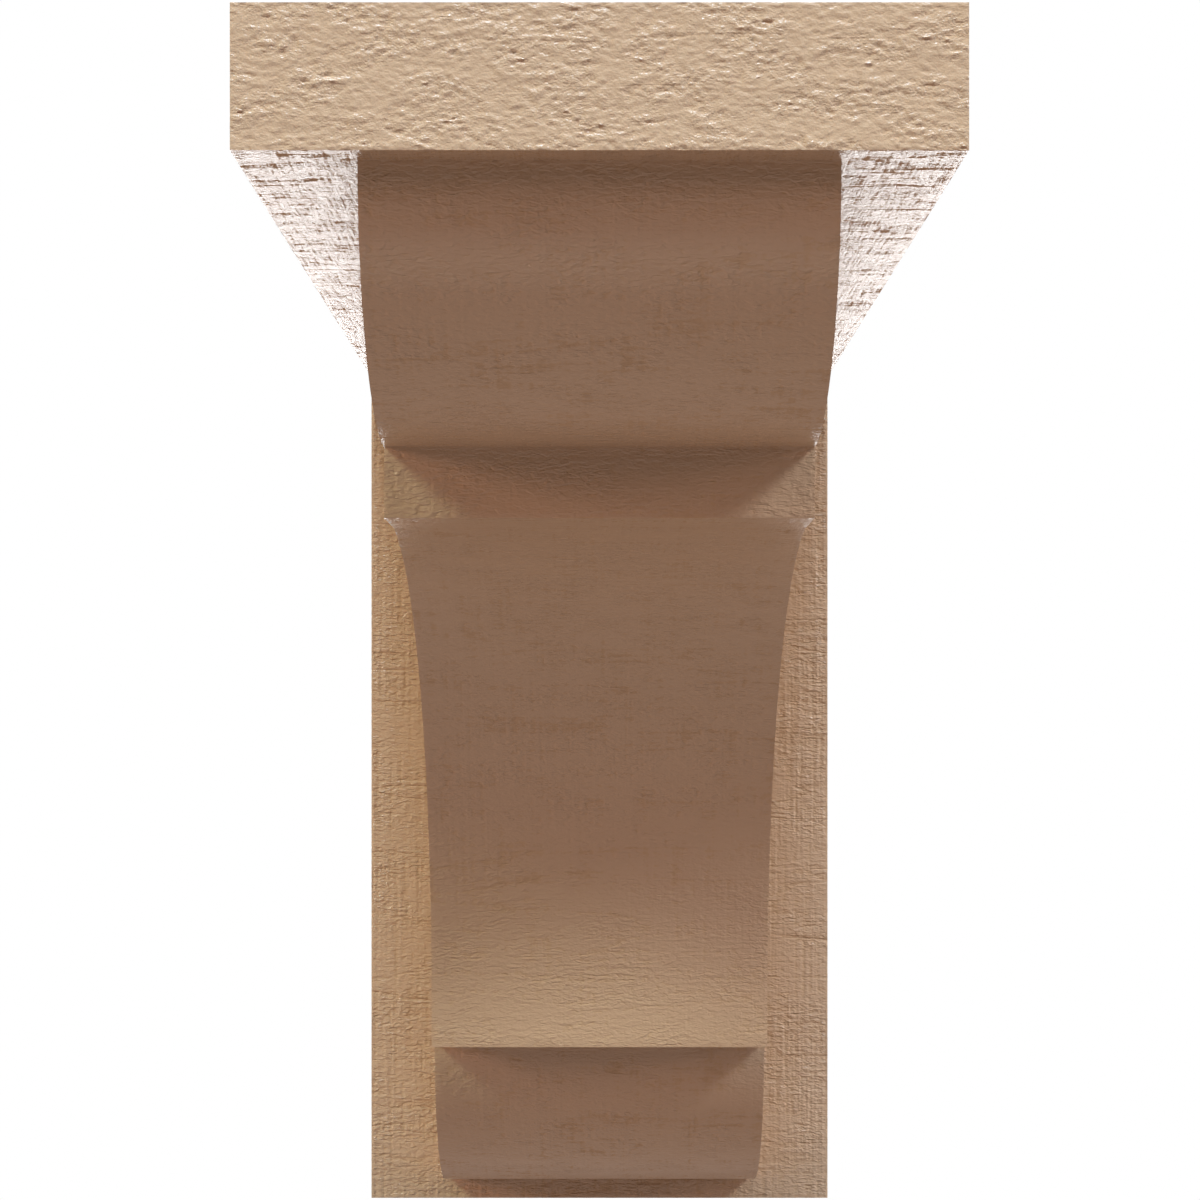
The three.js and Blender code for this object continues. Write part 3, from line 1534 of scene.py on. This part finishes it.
@dataclass(frozen=True)
class Surroundings:
    """The studio round the corbel: a soft glow, a bright screen behind, and a pale floor.

    The glow comes from the floor and from low in front. The screen covers part of the view
    straight behind the corbel, and shows on it only in reflections at a glance. Each edge is a
    pair of values of the view's direction, and the light fades from one to the other.

    Args:
        floor_glow: Colour and strength of the glow from the floor.
        front_glow: Colour and strength of the glow from low in front.
        floor_edge: Rise of the view where the floor's glow ends.
        front_top: Rise of the view where the front's glow ends.
        front_side: Turn of the view where the front's glow ends.
        screen_strength: How bright the screen is.
        screen_bottom: Rise of the view at the screen's lower edge.
        screen_top: Rise of the view at its upper edge.
        screen_side: Sideways part of the view at its sides.
        white: How bright the floor and the space behind the corbel look to the camera.
        floor_drop: How far the floor lies below the corbel.
        floor_span: How far the floor reaches from edge to edge.
    """

    floor_glow: tuple[float, float, float] = (0.55, 0.44, 0.40)
    front_glow: tuple[float, float, float] = (0.44, 0.39, 0.40)
    floor_edge: tuple[float, float] = (-0.65, -0.55)
    front_top: tuple[float, float] = (-0.05, 0.05)
    front_side: tuple[float, float] = (math.radians(35), math.radians(45))
    screen_strength: float = 6.8
    screen_bottom: tuple[float, float] = (-0.42, -0.14)
    screen_top: tuple[float, float] = (0.15, 0.30)
    screen_side: tuple[float, float] = (0.30, 0.45)
    white: float = 1.0
    floor_drop: float = 1.2
    floor_span: float = 14.0

    def build(self, sizes: CorbelSizes) -> None:
        """Makes the world and the floor.

        Args:
            sizes: The corbel's sizes, for the floor's level.
        """
        self.world()
        self.floor(sizes.bottom_level - self.floor_drop)

    def world(self) -> None:
        """Makes the light that comes from all round, white where the camera sees it."""
        world = bpy.data.worlds.new("studio")
        world.use_nodes = True
        world.node_tree.nodes.clear()
        bench = NodeBench(world.node_tree)
        direction = bench.add("ShaderNodeTexCoord").outputs["Generated"]
        right, back, up = bench.add("ShaderNodeSeparateXYZ", {0: direction}).outputs
        sideways = bench.math("ABSOLUTE", right)
        azimuth = bench.math("ARCTAN2", sideways, bench.math("MULTIPLY", back, -1.0))
        floor = bench.ramp(up, *self.floor_edge, 1.0, 0.0)
        front = bench.fold("MULTIPLY", (
            bench.ramp(up, *self.floor_edge, 0.0, 1.0),
            bench.ramp(up, *self.front_top, 1.0, 0.0),
            bench.ramp(azimuth, *self.front_side, 1.0, 0.0),
        ))
        screen = bench.fold("MULTIPLY", (
            bench.math("GREATER_THAN", back, 0.0),
            bench.ramp(up, *self.screen_bottom, 0.0, 1.0),
            bench.ramp(up, *self.screen_top, 1.0, 0.0),
            bench.ramp(sideways, *self.screen_side, 1.0, 0.0),
        ))
        bright = (self.screen_strength,) * 3
        ground, ahead, behind, seen = (
            bench.add("ShaderNodeBackground", {"Color": colour, "Strength": strength}).outputs[0]
            for colour, strength in (((*self.floor_glow, 1.0), floor),
                                     ((*self.front_glow, 1.0), front),
                                     ((*bright, 1.0), screen), (WHITE, self.white))
        )
        glow = bench.add("ShaderNodeAddShader", {0: ground, 1: ahead}).outputs[0]
        lit = bench.add("ShaderNodeAddShader", {0: glow, 1: behind}).outputs[0]
        camera_ray = bench.add("ShaderNodeLightPath").outputs["Is Camera Ray"]
        both = bench.add("ShaderNodeMixShader", {0: camera_ray, 1: lit, 2: seen}).outputs[0]
        bench.add("ShaderNodeOutputWorld", {"Surface": both})
        # The glow is even enough to be found by chance, so the lights get every aimed ray
        world.cycles.sampling_method = "NONE"
        bpy.context.scene.world = world

    def floor(self, level: float) -> None:
        """Lays the pale floor, which glows evenly and casts nothing on the corbel.

        Args:
            level: The floor's level.
        """
        half = self.floor_span / 2
        mesh = bpy.data.meshes.new("studio_floor")
        corners = [(-half, -half, level), (half, -half, level)]
        corners += [(half, half, level), (-half, half, level)]
        mesh.from_pydata(corners, [], [(0, 1, 2, 3)])
        floor = bpy.data.objects.new("studio_floor", mesh)
        pale = bpy.data.materials.new("pale floor")
        pale.use_nodes = True
        surface = pale.node_tree.nodes["Principled BSDF"].inputs
        surface["Base Color"].default_value = BLACK
        surface["Specular IOR Level"].default_value = 0.0
        surface["Emission Color"].default_value = WHITE
        surface["Emission Strength"].default_value = self.white
        mesh.materials.append(pale)
        bpy.context.scene.collection.objects.link(floor)
        floor.visible_diffuse = False
        floor.visible_glossy = False
        floor.visible_shadow = False


@dataclass(frozen=True)
class StudioCamera:
    """The camera: level, straight in front, at the corbel's mid-height.

    The frame is square, so a share of its side is the same both ways.

    Args:
        gap: From the lens to the cap's front.
        frame_side: The image's side, in pixels.
        focal_pixels: The focal length, in pixels.
        sensor: The sensor's side, in the lens's own millimetres.
        middle_column: Where the view's middle lies across the image, in pixels.
        middle_row: Where it lies down the image.
        near_limit: Nothing closer to the lens than this is seen.
    """

    gap: float = 441.3 * MM
    frame_side: float = 1200.0
    focal_pixels: float = 2142.0
    sensor: float = 36.0
    middle_column: float = 599.5
    middle_row: float = 741.8
    near_limit: float = 10 * MM

    def build(self, sizes: CorbelSizes) -> bpy.types.Object:
        """Sets the camera up.

        Args:
            sizes: The corbel's sizes.

        Returns:
            The camera's object.
        """
        lens = bpy.data.cameras.new("front view")
        lens.sensor_width = self.sensor
        lens.sensor_height = self.sensor
        lens.lens = self.sensor * self.focal_pixels / self.frame_side
        lens.shift_x = 0.5 - self.middle_column / self.frame_side
        lens.shift_y = self.middle_row / self.frame_side - 0.5
        lens.clip_start = self.near_limit
        camera = bpy.data.objects.new("front_camera", lens)
        camera.location = (0.0, -sizes.projection - self.gap, 0.0)
        camera.rotation_euler = (math.pi / 2, 0.0, 0.0)
        bpy.context.scene.collection.objects.link(camera)
        bpy.context.scene.camera = camera
        return camera


def main() -> None:
    """Builds the casting and the studio."""
    logging.basicConfig(level=logging.INFO, format="%(name)s: %(message)s")
    sizes = CorbelSizes.from_node(CORBEL_NODE)
    casting = Casting(sizes).build()
    log.info("%s: %d triangles", casting.name, len(casting.data.polygons))
    for light in STUDIO_LIGHTS:
        log.info("light: %s", light.build().name)
    Surroundings().build(sizes)
    StudioCamera().build(sizes)
    bpy.context.scene.view_settings.view_transform = "Standard"


if __name__ == "__main__":
    main()
